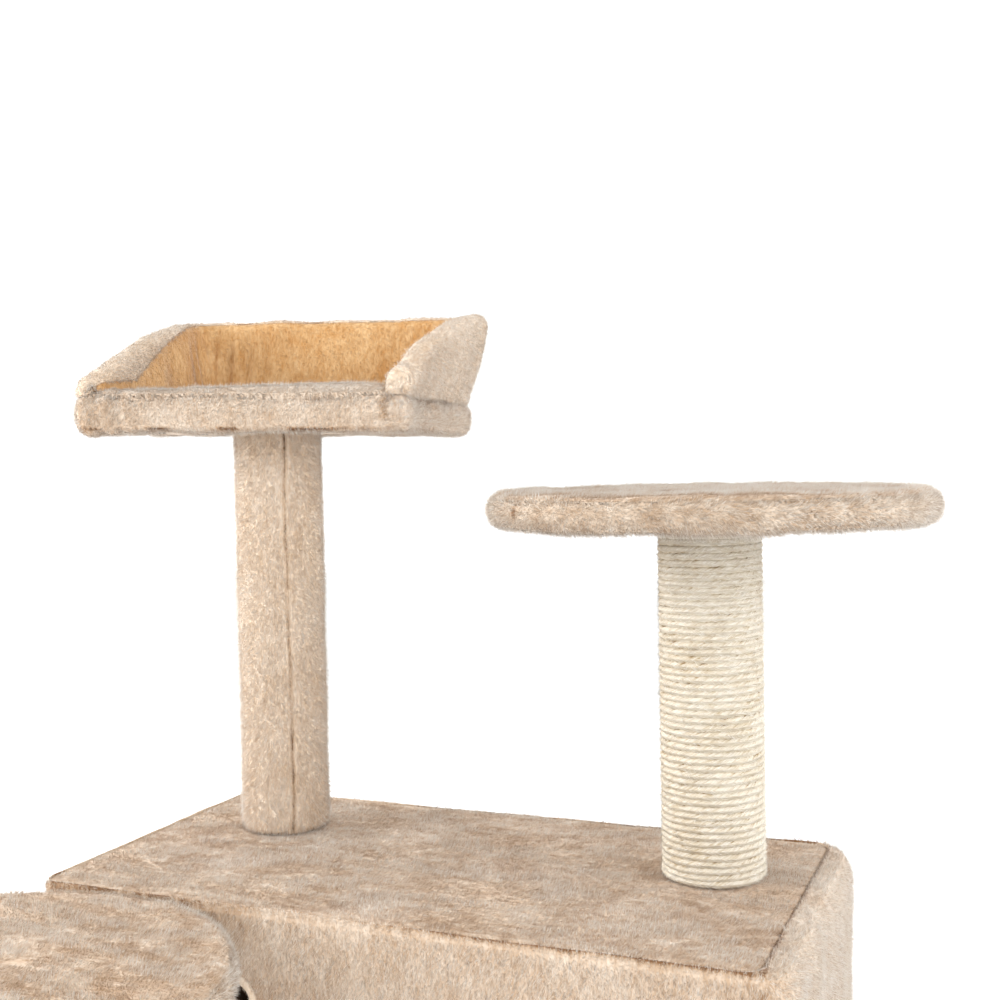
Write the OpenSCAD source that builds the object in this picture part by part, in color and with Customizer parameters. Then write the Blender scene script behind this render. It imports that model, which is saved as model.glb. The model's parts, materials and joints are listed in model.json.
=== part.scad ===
// Cat tree: a base board carries a long plush-covered box with a doorway.
// A plush post with a three-walled bed and a rope post with a round perch
// stand on the box. A second round platform, a step, stands in front of it.
// Origin: centre of the base's underside. +X right, +Y back, +Z up. Millimetres.

/* [Base] */
// Base width, plush included
base_w = 600; // [560:10:700]
// Base depth, plush included
base_d = 560; // [540:10:640]
// Corner radius of the base, plush included
base_r = 26; // [18:2:40]
// Base board thickness
base_board_t = 16; // [15:1:22]

/* [Plush] */
// Plush thickness, backing cloth and pile
plush_t = 4; // [3:0.5:5]
// Plush thickness where it is stapled flat under a board
hem_t = 2; // [1.5:0.5:3]
// Width of the hem folded under a board
hem_w = 40; // [30:1:44]

/* [Box] */
// Width of the box's top, plush included
box_w = 575; // [550:5:590]
// Depth of the box's top, plush included
box_d = 297; // [280:1:310]
// Height of the box above the base's plush
box_h = 306; // [290:2:330]
// Distance of the box's centre behind the base's centre
box_y = 120; // [115:1:125]
// Wall and top panel thickness
panel_t = 12; // [10:1:15]
// Padding and plush on the outside of the front and back walls
front_pad_t = 8; // [5:1:10]
// Plush on the outside of the left end wall
left_pad_t = 5; // [4:1:8]
// Padding and loose plush on the outside of the right end wall
right_pad_t = 17; // [8:1:20]
// Fleece thickness on the inside of the walls
lining_t = 3; // [2:0.5:4]

/* [Doorway] */
// Width of the doorway inside its trim
door_w = 160; // [140:5:180]
// Height of the doorway inside its trim
door_h = 205; // [170:5:215]
// Corner radius of the doorway inside its trim
door_r = 17; // [12:1:40]
// Centre of the doorway from the box's centre
door_x = -170; // [-180:1:-160]
// Distance of the doorway's top edge below the box's top
door_drop = 57; // [50:1:65]
// Thickness of the trim that lines the doorway
trim_t = 4; // [3:0.5:5]

/* [Posts] */
// Outside diameter of the cardboard tubes
tube_d = 70; // [60:1:80]
// Wall thickness of the cardboard tubes
tube_wall = 4; // [3:0.5:5]
// Thickness of the wound sisal rope
rope_t = 5.2; // [4:0.1:6]
// Visible height of the plush post
long_post_h = 356; // [330:1:380]
// Visible height of the perch's rope post
short_post_h = 275; // [250:1:300]
// Visible height of the step's rope post
step_post_h = 282; // [250:1:300]
// Plush post, from the box's centre
plush_post_at = [-182, 51];
// Rope post, from the box's centre
rope_post_at = [214, 39];

/* [Round platforms] */
// Diameter of the perch and of the step, plush included
disc_d = 346; // [320:2:360]
// Thickness of the perch and of the step, plush included
disc_t = 28; // [26:1:38]
// Radius of the rounded rim
disc_edge_r = 12; // [8:0.5:13]
// Board thickness in the perch, the step and the bed
deck_t = 16; // [12:1:18]
// Centre of the step from the base's centre, left and right
step_x = -189; // [-200:1:-180]
// Gap between the step's rim and the box's front
step_gap = 1.5; // [1:0.5:10]

/* [Bed] */
// Width of the bed's platform, plush included
bed_w = 280; // [260:1:300]
// Depth of the bed's platform, plush included
bed_d = 240; // [220:1:260]
// Corner radius of the bed's platform
bed_r = 20; // [14:1:30]
// Thickness of the bed's platform, plush included
bed_rim_t = 35; // [32:1:40]
// Height of the back wall above the platform
bed_wall_h = 79; // [60:1:90]
// Thickness of the padded walls
bed_wall_t = 18; // [16:1:22]
// How far the walls lean out at their top
bed_flare = 14; // [0:1:16]
// Turn of the bed about its post, seen from above
bed_turn = 9.2; // [0:0.1:12]
// Centre of the bed's platform from its post, along the box
bed_shift = [10.5, 6];

/* [Fasteners] */
// Diameter of the bolts in the posts
bolt_d = 8; // [6:0.5:8]
// Length of thread held in each post's insert nut
thread_len = 15; // [10:1:16]
// Shank diameter of the panel screws
screw_d = 3.8; // [3:0.1:4]
// Length of the panel screws
screw_len = 40; // [30:1:45]

/* [Hidden] */
$fn = 64;

plush_colour = [0.86, 0.76, 0.65];
lining_colour = [0.83, 0.66, 0.46];
rope_colour = [0.89, 0.85, 0.77];
board_colour = [0.62, 0.48, 0.34];
card_colour = [0.66, 0.54, 0.40];
foam_colour = [0.93, 0.90, 0.80];
steel_colour = [0.70, 0.70, 0.72];
backing_colour = [0.33, 0.24, 0.16];

eps = 0.01;
// Height of the base's plush surface
base_top = hem_t + base_board_t + plush_t;
// Height of the box's plush top, and of its top panel's two faces
box_top = base_top + box_h;
panel_top = box_top - plush_t;
panel_under = panel_top - panel_t;
// Panels of the box, without plush
core_w = box_w - 2 * plush_t;
core_d = box_d - 2 * plush_t;
wall_h = panel_under - base_top;
// Outside of the padded walls of the box, and how far the thicker right end shifts its centre
outer_w = core_w + left_pad_t + right_pad_t;
outer_d = core_d + 2 * front_pad_t;
outer_shift = (right_pad_t - left_pad_t) / 2;
outer_r = 12;
// Height of the doorway's centre
door_z = box_top - door_drop - door_h / 2;
// Undersides of the platforms
perch_z = box_top + short_post_h;
step_z = base_top + step_post_h;
bed_z = box_top + long_post_h;
// Post axes
plush_axis = [plush_post_at.x, box_y + plush_post_at.y];
rope_axis = [rope_post_at.x, box_y + rope_post_at.y];
step_axis = [step_x, box_y - outer_d / 2 - step_gap - disc_d / 2];
// Boards and foam inside the round platforms
disc_core_r = disc_d / 2 - 8;
disc_foam_t = disc_t - hem_t - deck_t - plush_t;
disc_open_r = disc_core_r - hem_w + 4;
// Board and foam inside the bed's platform
bed_foam_t = bed_rim_t - hem_t - deck_t - plush_t;
bed_top_z = bed_rim_t + bed_wall_h;
// Roundness of the side walls' top edge: 1 is straight, 2 is an ellipse
wall_roundness = 1.28;
wall_front_y = -bed_d / 2 + 6;
// Layers of the bed's walls, measured in from their outer face, and where the side walls' foam ends
skin = plush_t;
core_in = bed_wall_t - plush_t;
corner_in = bed_r + 6;
tall = 200;
// Staples along the hems
staple_w = 10;
staple_wire = 0.8;
// Screws through the box's corners, as shares of the walls' height, and along its top and its foot
panel_screw_heights = [0.14, 0.5, 0.84];
top_screw_x = 200;
base_screw_x = 240;
// Plugs and inserts in the posts
plug_t = 20;
insert_len = 16;
insert_r = 5.5;
insert_bore_r = bolt_d / 2 + 0.05;
bolt_hole_r = bolt_d / 2 + 0.5;
washer_r = 12;
washer_t = 2;
hex_head_h = 5.3;
hex_head_r = 7.5;
deck_head_r = 11;
deck_head_h = 3;
step_bolt_recess = 8;
access_hole_r = 14;

// ---- Shared shapes ----

// Rounded rectangle centred on the origin, with true arcs
module rounded_rect(w, d, r) {
  square([w - 2 * r, d], center = true);
  square([w, d - 2 * r], center = true);
  for (x = [-1, 1], y = [-1, 1])
    translate([x * (w / 2 - r), y * (d / 2 - r)]) circle(r);
}

module slab(w, d, r, z0, z1) {
  translate([0, 0, z0]) linear_extrude(z1 - z0) rounded_rect(w, d, r);
}

// Hollow or solid cylinder between two heights
module ring(r_out, r_in, z0, z1) {
  translate([0, 0, z0]) difference() {
    cylinder(r = r_out, h = z1 - z0);
    if (r_in > 0) translate([0, 0, -1]) cylinder(r = r_in, h = z1 - z0 + 2);
  }
}

// Opening through a wall that stands across the Y axis
module door_shape(grow, y0, y1) {
  translate([door_x, y1, door_z]) rotate([90, 0, 0])
    linear_extrude(y1 - y0) rounded_rect(door_w + 2 * grow, door_h + 2 * grow, door_r + grow);
}

// Countersunk screw along +Z, its head's flat face at z = 0
module screw() {
  head_r = screw_d;
  head_h = screw_d / 2;
  cylinder(r1 = head_r, r2 = screw_d / 2, h = head_h);
  translate([0, 0, head_h]) cylinder(d = screw_d, h = screw_len - head_h);
}

// ---- Where the screws and bolts go ----

module box_place() { translate([0, box_y, 0]) children(); }

// Screws through the front and back panels into the end panels, and through the top panel
module panel_screws_at() {
  for (x = [-1, 1], y = [-1, 1], z = panel_screw_heights)
    translate([x * (core_w - panel_t) / 2, y * core_d / 2, base_top + z * wall_h])
      rotate([y * 90, 0, 0]) children();
  for (x = [-1, 0, 1], y = [-1, 1])
    translate([x * top_screw_x, y * (core_d - panel_t) / 2, panel_top])
      rotate([180, 0, 0]) children();
}

// Screws up through the base board into the bottom edges of the front and back panels
module base_screws_at() {
  for (x = [-1, 1], y = [-1, 1])
    translate([x * base_screw_x, y * (core_d - panel_t) / 2, hem_t]) children();
}

// The bolt at each post's foot: its axis, the height of its washer's bearing face and its reach
foot_bolts = [
  [plush_axis, panel_under, box_top],
  [rope_axis, panel_under, box_top],
  [step_axis, hem_t + step_bolt_recess, base_top]
];

// The bolt at each post's top: its axis and the underside of its platform
deck_bolt_list = [[plush_axis, bed_z], [rope_axis, perch_z], [step_axis, step_z]];

// ---- Base ----

module base_access_holes() {
  box_place() base_screws_at() translate([0, 0, -hem_t - 1]) cylinder(r = 6, h = hem_t + 1);
  translate([step_axis.x, step_axis.y, -1]) cylinder(r = access_hole_r, h = hem_t + 1);
}

module base_board() {
  color(board_colour) difference() {
    slab(base_w - 2 * plush_t, base_d - 2 * plush_t, base_r - plush_t, hem_t, hem_t + base_board_t);
    box_place() base_screws_at() screw();
    translate([step_axis.x, step_axis.y, 0]) {
      cylinder(r = bolt_hole_r, h = base_top);
      cylinder(r = access_hole_r, h = hem_t + step_bolt_recess);
    }
  }
}

module base_cover() {
  open_w = base_w - 2 * (plush_t + hem_w);
  open_d = base_d - 2 * (plush_t + hem_w);
  color(plush_colour) difference() {
    slab(base_w, base_d, base_r, 0, base_top);
    slab(base_w - 2 * plush_t, base_d - 2 * plush_t, base_r - plush_t, hem_t, hem_t + base_board_t);
    slab(open_w, open_d, 10, -1, hem_t + 1);
    base_access_holes();
    box_place() base_screws_at() screw();
    translate([step_axis.x, step_axis.y, 0]) cylinder(r = bolt_hole_r, h = base_top + 1);
  }
}

module base_backing() {
  gap = 1;
  color(backing_colour) difference() {
    slab(base_w - 2 * (plush_t + hem_w + gap), base_d - 2 * (plush_t + hem_w + gap), 9, 0, hem_t);
    base_access_holes();
  }
}

// ---- Box ----

// One long wall of the box; side is -1 for the front and 1 for the back
module long_panel(side) {
  y0 = side < 0 ? -core_d / 2 : core_d / 2 - panel_t;
  difference() {
    translate([-core_w / 2, y0, base_top]) cube([core_w, panel_t, wall_h]);
    panel_screws_at() screw();
    base_screws_at() screw();
  }
}

module box_front_panel() {
  color(board_colour) box_place() difference() {
    long_panel(-1);
    door_shape(trim_t, -core_d / 2 - 1, -core_d / 2 + panel_t + 1);
  }
}

module box_back_panel() {
  color(board_colour) box_place() long_panel(1);
}

// One end wall of the box, between the long walls
module end_panel(side) {
  x0 = side < 0 ? -core_w / 2 : core_w / 2 - panel_t;
  color(board_colour) box_place() difference() {
    translate([x0, -core_d / 2 + panel_t, base_top]) cube([panel_t, core_d - 2 * panel_t, wall_h]);
    panel_screws_at() screw();
  }
}

module box_left_panel() { end_panel(-1); }

module box_right_panel() { end_panel(1); }

module foot_bolt_holes() {
  for (post = [plush_post_at, rope_post_at])
    translate([post.x, post.y, panel_under - 1]) cylinder(r = bolt_hole_r, h = box_top - panel_under + 2);
}

module box_top_panel() {
  color(board_colour) box_place() difference() {
    translate([-core_w / 2, -core_d / 2, panel_under]) cube([core_w, core_d, panel_t]);
    panel_screws_at() screw();
    foot_bolt_holes();
  }
}

module box_wall_cover() {
  color(plush_colour) box_place() difference() {
    translate([outer_shift, 0, 0]) slab(outer_w, outer_d, outer_r, base_top, panel_top);
    translate([-core_w / 2, -core_d / 2, base_top - 1]) cube([core_w, core_d, panel_top - base_top + 2]);
    door_shape(trim_t, -outer_d / 2 - 1, -core_d / 2 + 1);
  }
}

module box_top_cover() {
  color(plush_colour) box_place() difference() {
    slab(box_w, box_d, 12, panel_top, box_top);
    foot_bolt_holes();
  }
}

module box_lining() {
  in_w = core_w - 2 * panel_t;
  in_d = core_d - 2 * panel_t;
  color(lining_colour) box_place() difference() {
    translate([-in_w / 2, -in_d / 2, base_top]) cube([in_w, in_d, wall_h]);
    translate([-in_w / 2 + lining_t, -in_d / 2 + lining_t, base_top - 1])
      cube([in_w - 2 * lining_t, in_d - 2 * lining_t, wall_h + 2]);
    door_shape(trim_t, -core_d / 2, 0);
  }
}

module door_trim() {
  lip = 2;
  y0 = -outer_d / 2 - lip + 1.5;
  y1 = -core_d / 2 + panel_t + lining_t;
  color(plush_colour) box_place() difference() {
    door_shape(trim_t, y0, y1);
    door_shape(0, y0 - 1, y1 + 1);
  }
}

module box_panel_screws() {
  color(steel_colour) box_place() panel_screws_at() screw();
}

module box_base_screws() {
  color(steel_colour) box_place() base_screws_at() screw();
}

// ---- Posts: each stands at z0 and its tube ends at z1, against a platform's board ----

module post_tube(axis, z0, z1) {
  color(card_colour) translate([axis.x, axis.y, 0]) ring(tube_d / 2, tube_d / 2 - tube_wall, z0, z1);
}

module post_sleeve(axis, t, z0, z1) {
  translate([axis.x, axis.y, 0]) ring(tube_d / 2 + t, tube_d / 2, z0, z1);
}

module post_plugs(axis, z0, z1) {
  color(board_colour) translate([axis.x, axis.y, 0]) {
    ring(tube_d / 2 - tube_wall, insert_r, z0, z0 + plug_t);
    ring(tube_d / 2 - tube_wall, insert_r, z1 - plug_t, z1);
  }
}

module post_inserts(axis, z0, z1) {
  color(steel_colour) translate([axis.x, axis.y, 0]) {
    ring(insert_r, insert_bore_r, z0, z0 + insert_len);
    ring(insert_r, insert_bore_r, z1 - insert_len, z1);
  }
}

module plush_post_tube() { post_tube(plush_axis, box_top, bed_z + hem_t); }

module plush_post_cover() { color(plush_colour) post_sleeve(plush_axis, plush_t, box_top, bed_z + hem_t); }

module plush_post_plugs() { post_plugs(plush_axis, box_top, bed_z + hem_t); }

module plush_post_inserts() { post_inserts(plush_axis, box_top, bed_z + hem_t); }

module rope_post_tube() { post_tube(rope_axis, box_top, perch_z + hem_t); }

module rope_post_rope() { color(rope_colour) post_sleeve(rope_axis, rope_t, box_top, perch_z + hem_t); }

module rope_post_plugs() { post_plugs(rope_axis, box_top, perch_z + hem_t); }

module rope_post_inserts() { post_inserts(rope_axis, box_top, perch_z + hem_t); }

module step_post_tube() { post_tube(step_axis, base_top, step_z + hem_t); }

module step_post_rope() { color(rope_colour) post_sleeve(step_axis, rope_t, base_top, step_z + hem_t); }

module step_post_plugs() { post_plugs(step_axis, base_top, step_z + hem_t); }

module step_post_inserts() { post_inserts(step_axis, base_top, step_z + hem_t); }

module post_bolts() {
  color(steel_colour) for (b = foot_bolts) translate([b[0].x, b[0].y, b[1] - washer_t]) {
    translate([0, 0, -hex_head_h]) cylinder(r = hex_head_r, h = hex_head_h, $fn = 6);
    cylinder(d = bolt_d, h = b[2] - b[1] + washer_t + thread_len);
  }
}

module post_washers() {
  color(steel_colour) for (b = foot_bolts)
    translate([b[0].x, b[0].y, 0]) ring(washer_r, bolt_d / 2, b[1] - washer_t, b[1]);
}

module deck_bolts() {
  color(steel_colour) for (b = deck_bolt_list) translate([b[0].x, b[0].y, b[1] + hem_t]) {
    translate([0, 0, deck_t - deck_head_h]) cylinder(r = deck_head_r, h = deck_head_h);
    translate([0, 0, -thread_len]) cylinder(d = bolt_d, h = thread_len + deck_t - deck_head_h);
  }
}

// Clearance hole and head recess for a deck bolt, in a board whose underside is at z = 0
module deck_bolt_hole() {
  translate([0, 0, -1]) cylinder(r = bolt_hole_r, h = deck_t + 2);
  translate([0, 0, deck_t - deck_head_h]) cylinder(r = deck_head_r, h = deck_head_h + 1);
}

// ---- Round platforms, drawn with their underside at z = 0 ----

module disc_board() {
  color(board_colour) translate([0, 0, hem_t]) difference() {
    cylinder(r = disc_core_r, h = deck_t);
    deck_bolt_hole();
  }
}

module disc_foam() {
  color(foam_colour) translate([0, 0, hem_t + deck_t]) cylinder(r = disc_core_r, h = disc_foam_t);
}

// Outline of a round platform in section, with a rounded rim
module disc_section() {
  r = disc_d / 2;
  e = disc_edge_r;
  square([r - e, disc_t]);
  translate([0, e]) square([r, disc_t - 2 * e]);
  for (z = [e, disc_t - e]) translate([r - e, z]) circle(e);
}

module disc_cover() {
  color(plush_colour) difference() {
    rotate_extrude($fn = 128) intersection() {
      disc_section();
      square([disc_d, disc_t]);
    }
    translate([0, 0, hem_t]) cylinder(r = disc_core_r, h = deck_t + disc_foam_t);
    translate([0, 0, -1]) cylinder(r = disc_open_r, h = hem_t + 2);
  }
}

module staple() {
  translate([-staple_w / 2, -staple_wire / 2, -staple_wire]) cube([staple_w, staple_wire, staple_wire]);
}

module disc_staples() {
  count = 20;
  color(steel_colour) for (i = [0 : count - 1])
    rotate([0, 0, i * 360 / count]) translate([disc_open_r + 9, 0, 0]) rotate([0, 0, 80]) staple();
}

module perch_place() { translate([rope_axis.x, rope_axis.y, perch_z]) children(); }

module perch_board() { perch_place() disc_board(); }

module perch_foam() { perch_place() disc_foam(); }

module perch_cover() { perch_place() disc_cover(); }

module perch_staples() { perch_place() disc_staples(); }

module step_place() { translate([step_axis.x, step_axis.y, step_z]) children(); }

module step_board() { step_place() disc_board(); }

module step_foam() { step_place() disc_foam(); }

module step_cover() { step_place() disc_cover(); }

module step_staples() { step_place() disc_staples(); }

// ---- Bed, drawn about its platform's centre with its underside at z = 0 ----

module bed_place() {
  translate([plush_axis.x + bed_shift.x, plush_axis.y + bed_shift.y, bed_z])
    rotate([0, 0, bed_turn]) children();
}

module bed_bolt_place() {
  rotate([0, 0, -bed_turn]) translate([-bed_shift.x, -bed_shift.y, 0]) children();
}

module bed_board() {
  color(board_colour) bed_place() difference() {
    slab(bed_w - 2 * plush_t, bed_d - 2 * plush_t, bed_r - plush_t, hem_t, hem_t + deck_t);
    translate([0, 0, hem_t]) bed_bolt_place() deck_bolt_hole();
  }
}

module bed_foam() {
  z0 = hem_t + deck_t;
  color(foam_colour) bed_place()
    slab(bed_w - 2 * plush_t, bed_d - 2 * plush_t, bed_r - plush_t, z0, z0 + bed_foam_t);
}

module bed_platform_cover() {
  hem = plush_t + hem_w;
  color(plush_colour) bed_place() difference() {
    slab(bed_w, bed_d, bed_r, 0, bed_rim_t);
    slab(bed_w - 2 * plush_t, bed_d - 2 * plush_t, bed_r - plush_t, hem_t, bed_rim_t - plush_t);
    slab(bed_w - 2 * hem, bed_d - 2 * hem, 8, -1, hem_t + 1);
  }
}

module bed_staples() {
  inset = plush_t + hem_w - 9;
  count = 4;
  color(steel_colour) bed_place() for (i = [0 : count], side = [-1, 1]) {
    along = i / count - 0.5;
    translate([along * (bed_w - 2 * inset - 12), side * (bed_d / 2 - inset), 0]) rotate([0, 0, 8]) staple();
    if (i > 0 && i < count)
      translate([side * (bed_w / 2 - inset), along * (bed_d - 2 * inset), 0]) rotate([0, 0, 84]) staple();
  }
}

// Solid that widens upwards, from the platform's outline drawn in by inset
module flared_block(inset) {
  r = max(bed_r - inset, 3);
  lip = 1;
  top_growth = 2 * bed_flare;
  hull() {
    translate([0, 0, bed_rim_t]) linear_extrude(eps)
      rounded_rect(bed_w - 2 * inset, bed_d - 2 * inset, r, $fn = 32);
    translate([0, 0, bed_top_z + lip]) linear_extrude(eps)
      rounded_rect(bed_w - 2 * inset + top_growth, bed_d - 2 * inset + top_growth, r, $fn = 32);
  }
}

// Height of the side walls' top edge at a place y along the bed
function wall_top(y, drop) =
  let (u = (bed_d / 2 - y) / (bed_d / 2 - wall_front_y))
  bed_rim_t + bed_wall_h * pow(max(1 - pow(min(max(u, 0), 1), wall_roundness), 0), 1 / wall_roundness) - drop;

// The walls' outline seen from the side, lowered by drop and cut back by drop at the front
module wall_outline(drop) {
  steps = 14;
  back_y = bed_d / 2 + bed_flare + 2;
  front = wall_front_y + drop;
  rotate([90, 0, 90]) linear_extrude(2 * bed_w, center = true) polygon(concat(
    [[back_y, bed_rim_t - 1], [back_y, bed_top_z - drop]],
    [for (i = [0 : steps]) let (y = bed_d / 2 + (front + 2 - bed_d / 2) * i / steps)
      [y, max(wall_top(y - drop, drop), bed_rim_t + 3)]],
    [[front, bed_rim_t - 1]]
  ));
}

// Three-walled band between two depths below the walls' outer face
module wall_band(outer, inner, drop) {
  intersection() {
    difference() {
      flared_block(outer);
      translate([0, 0, -eps]) flared_block(inner);
      translate([-bed_w / 2 + inner, -bed_d, bed_rim_t - 1]) cube([bed_w - 2 * inner, bed_d, bed_wall_h + 4]);
    }
    wall_outline(drop);
  }
}

module bed_back_wall_core() {
  color(foam_colour) bed_place() intersection() {
    wall_band(skin, core_in, skin);
    translate([-bed_w / 2 + corner_in, 0, 0]) cube([bed_w - 2 * corner_in, bed_d, tall]);
  }
}

module side_wall_core(side) {
  x0 = side < 0 ? -bed_w : bed_w / 2 - corner_in;
  color(foam_colour) bed_place() intersection() {
    wall_band(skin, core_in, skin);
    translate([x0, -bed_d, 0]) cube([bed_w / 2 + corner_in, 2 * bed_d, tall]);
  }
}

module bed_left_wall_core() { side_wall_core(-1); }

module bed_right_wall_core() { side_wall_core(1); }

module bed_wall_cover() {
  color(plush_colour) bed_place() difference() {
    wall_band(0, bed_wall_t, 0);
    wall_band(skin, bed_wall_t + 1, skin);
  }
}

module bed_wall_lining() {
  color(lining_colour) bed_place() wall_band(core_in, bed_wall_t, skin);
}

base_board();
base_cover();
base_backing();
box_front_panel();
box_back_panel();
box_left_panel();
box_right_panel();
box_top_panel();
box_wall_cover();
box_top_cover();
box_lining();
door_trim();
box_panel_screws();
box_base_screws();
plush_post_tube();
plush_post_cover();
plush_post_plugs();
plush_post_inserts();
rope_post_tube();
rope_post_rope();
rope_post_plugs();
rope_post_inserts();
step_post_tube();
step_post_rope();
step_post_plugs();
step_post_inserts();
post_bolts();
post_washers();
deck_bolts();
perch_board();
perch_foam();
perch_cover();
perch_staples();
step_board();
step_foam();
step_cover();
step_staples();
bed_board();
bed_foam();
bed_platform_cover();
bed_staples();
bed_back_wall_core();
bed_left_wall_core();
bed_right_wall_core();
bed_wall_cover();
bed_wall_lining();
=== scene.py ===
"""Cat tree: the looks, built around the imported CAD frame. Metres, +Z up, +Y to the back."""
import json
import math

import bpy
import numpy as np
from mathutils import Matrix, Vector

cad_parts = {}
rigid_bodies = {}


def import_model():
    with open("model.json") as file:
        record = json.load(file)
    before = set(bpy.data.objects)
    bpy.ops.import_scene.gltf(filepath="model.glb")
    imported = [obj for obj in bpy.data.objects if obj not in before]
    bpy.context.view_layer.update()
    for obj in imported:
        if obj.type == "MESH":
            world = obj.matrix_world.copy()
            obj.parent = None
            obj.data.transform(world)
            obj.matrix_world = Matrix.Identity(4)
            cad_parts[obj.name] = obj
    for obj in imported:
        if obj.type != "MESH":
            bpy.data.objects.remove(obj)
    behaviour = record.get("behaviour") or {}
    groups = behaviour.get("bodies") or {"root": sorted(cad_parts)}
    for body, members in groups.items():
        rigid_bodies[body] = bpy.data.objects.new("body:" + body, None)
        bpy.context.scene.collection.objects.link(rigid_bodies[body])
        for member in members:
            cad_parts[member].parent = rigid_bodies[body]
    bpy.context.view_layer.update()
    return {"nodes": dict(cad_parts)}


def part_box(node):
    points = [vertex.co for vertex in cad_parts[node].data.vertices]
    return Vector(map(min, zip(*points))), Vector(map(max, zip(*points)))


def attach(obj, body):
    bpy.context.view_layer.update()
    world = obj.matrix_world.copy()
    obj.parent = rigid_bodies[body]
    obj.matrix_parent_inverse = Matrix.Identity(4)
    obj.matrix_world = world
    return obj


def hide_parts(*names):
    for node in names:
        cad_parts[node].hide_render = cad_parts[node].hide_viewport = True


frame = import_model()
MM = 0.001

# Places from the frame
base_low, base_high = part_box("base_cover")
top_low, top_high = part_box("box_top_cover")
wall_low, wall_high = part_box("box_wall_cover")
core_low, core_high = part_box("box_top_panel")
trim_low, trim_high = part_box("door_trim")
BOX_TOP = top_high.z
BASE_TOP = base_high.z

# Corner radii of the covers in plan
BASE_R = 24 * MM
TOP_R = 16 * MM
WALL_R = 22 * MM
DOOR_R = 21 * MM

# Posts
POST_TUBE_R = 35 * MM
SEAM_AT = math.radians(-49)

# Bed
BED_TURN = math.radians(9.2)
BED_R = 20 * MM
BED_FLARE = 14 * MM
BED_SAG = 5 * MM
WALL_T = 18 * MM
LEFT_WALL_ROUNDNESS = 1.38
RIGHT_WALL_ROUNDNESS = 1.52


def bed_size():
    """Width and depth of the bed's platform, from the frame's box round the turned platform."""
    low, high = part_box("bed_platform_cover")
    c, s = math.cos(BED_TURN), math.sin(BED_TURN)
    lost = 2 * BED_R * (c + s - 1)
    x, y = high.x - low.x + lost, high.y - low.y + lost
    return (x * c - y * s) / (c * c - s * s), (y * c - x * s) / (c * c - s * s)


BED_W, BED_D = bed_size()


# ---- Numbers ----

def lattice(ix, iy, iz, seed):
    """A repeatable random number from -1 to 1 at each whole-number lattice point."""
    h = (ix * 374761393 + iy * 668265263 + iz * 1440662683 + seed * 1274126177) & 0xFFFFFFFF
    h = ((h ^ (h >> 13)) * 1274126177) & 0xFFFFFFFF
    return (h ^ (h >> 16)) / 0x7FFFFFFF - 1


def noise(points, size, seed=0):
    """Smooth noise from -1 to 1 at the points, with features about size across; size may differ per axis."""
    q = np.asarray(points, float) / size + 1000
    cell = np.floor(q).astype(np.int64)
    f = q - cell
    f = f * f * (3 - 2 * f)
    total = np.zeros(len(q))
    for dx in (0, 1):
        for dy in (0, 1):
            for dz in (0, 1):
                share = (f[:, 0] if dx else 1 - f[:, 0]) * (f[:, 1] if dy else 1 - f[:, 1])
                share = share * (f[:, 2] if dz else 1 - f[:, 2])
                total += share * lattice(cell[:, 0] + dx, cell[:, 1] + dy, cell[:, 2] + dz, seed)
    return total


def unit(v):
    return v / np.maximum(np.linalg.norm(v, axis=-1, keepdims=True), 1e-9)


def smooth_step(x, low, high):
    t = np.clip((x - low) / (high - low), 0, 1)
    return t * t * (3 - 2 * t)


def peak(x, width):
    """1 where x is 0, and fading within about width on both sides."""
    return np.exp(-(x / width) ** 2)


def off_axis(points, centre):
    """Distance from the upright line through centre."""
    return np.hypot(points[:, 0] - centre.x, points[:, 1] - centre.y)


def round_axis(points, centre):
    """Directions that run round the upright line through centre."""
    return np.stack([centre.y - points[:, 1], points[:, 0] - centre.x, np.zeros(len(points))], -1)


def upright(amount):
    """Vectors that point up by the amounts."""
    return np.stack([0 * amount, 0 * amount, amount], -1)


def srgb(*screen):
    """Linear colour from 0 to 255 screen values."""
    return tuple(c / 255 / 12.92 if c <= 10 else ((c / 255 + 0.055) / 1.055) ** 2.4 for c in screen) + (1.0,)


# ---- Meshes ----

def read(elements, key, kind=np.float32):
    """A three-number property of every element, one row each."""
    values = np.empty(len(elements) * 3, kind)
    elements.foreach_get(key, values)
    return values.reshape(-1, 3)


def triangles_of(mesh):
    mesh.calc_loop_triangles()
    return read(mesh.loop_triangles, "vertices", np.int32)


def outward_volume(mesh):
    """Positive when the faces of a closed mesh look outwards."""
    a, b, c = read(mesh.vertices, "co").astype(float)[triangles_of(mesh)].transpose(1, 0, 2)
    return float((a * np.cross(b, c)).sum())


def make_object(name, points, quads=(), tris=(), polygons=()):
    quads = np.asarray(quads, np.int32).reshape(-1, 4)
    tris = np.asarray(tris, np.int32).reshape(-1, 3)
    polygons = [np.asarray(p, np.int32) for p in polygons]
    corners = np.concatenate([quads.ravel(), tris.ravel(), *polygons])
    sizes = np.array([4] * len(quads) + [3] * len(tris) + [len(p) for p in polygons])
    mesh = bpy.data.meshes.new(name)
    mesh.vertices.add(len(points))
    mesh.vertices.foreach_set("co", np.asarray(points, np.float32).ravel())
    mesh.loops.add(len(corners))
    mesh.loops.foreach_set("vertex_index", corners)
    mesh.polygons.add(len(sizes))
    mesh.polygons.foreach_set("loop_start", np.concatenate([[0], np.cumsum(sizes)[:-1]]).astype(np.int32))
    mesh.update(calc_edges=True)
    mesh.validate()
    if outward_volume(mesh) < 0:
        mesh.flip_normals()
    mesh.polygons.foreach_set("use_smooth", np.ones(len(mesh.polygons), bool))
    obj = bpy.data.objects.new(name, mesh)
    bpy.context.scene.collection.objects.link(obj)
    return obj


def points_of(obj):
    return read(obj.data.vertices, "co").astype(float)


def normals_of(obj):
    return read(obj.data.vertex_normals, "vector").astype(float)


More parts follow.
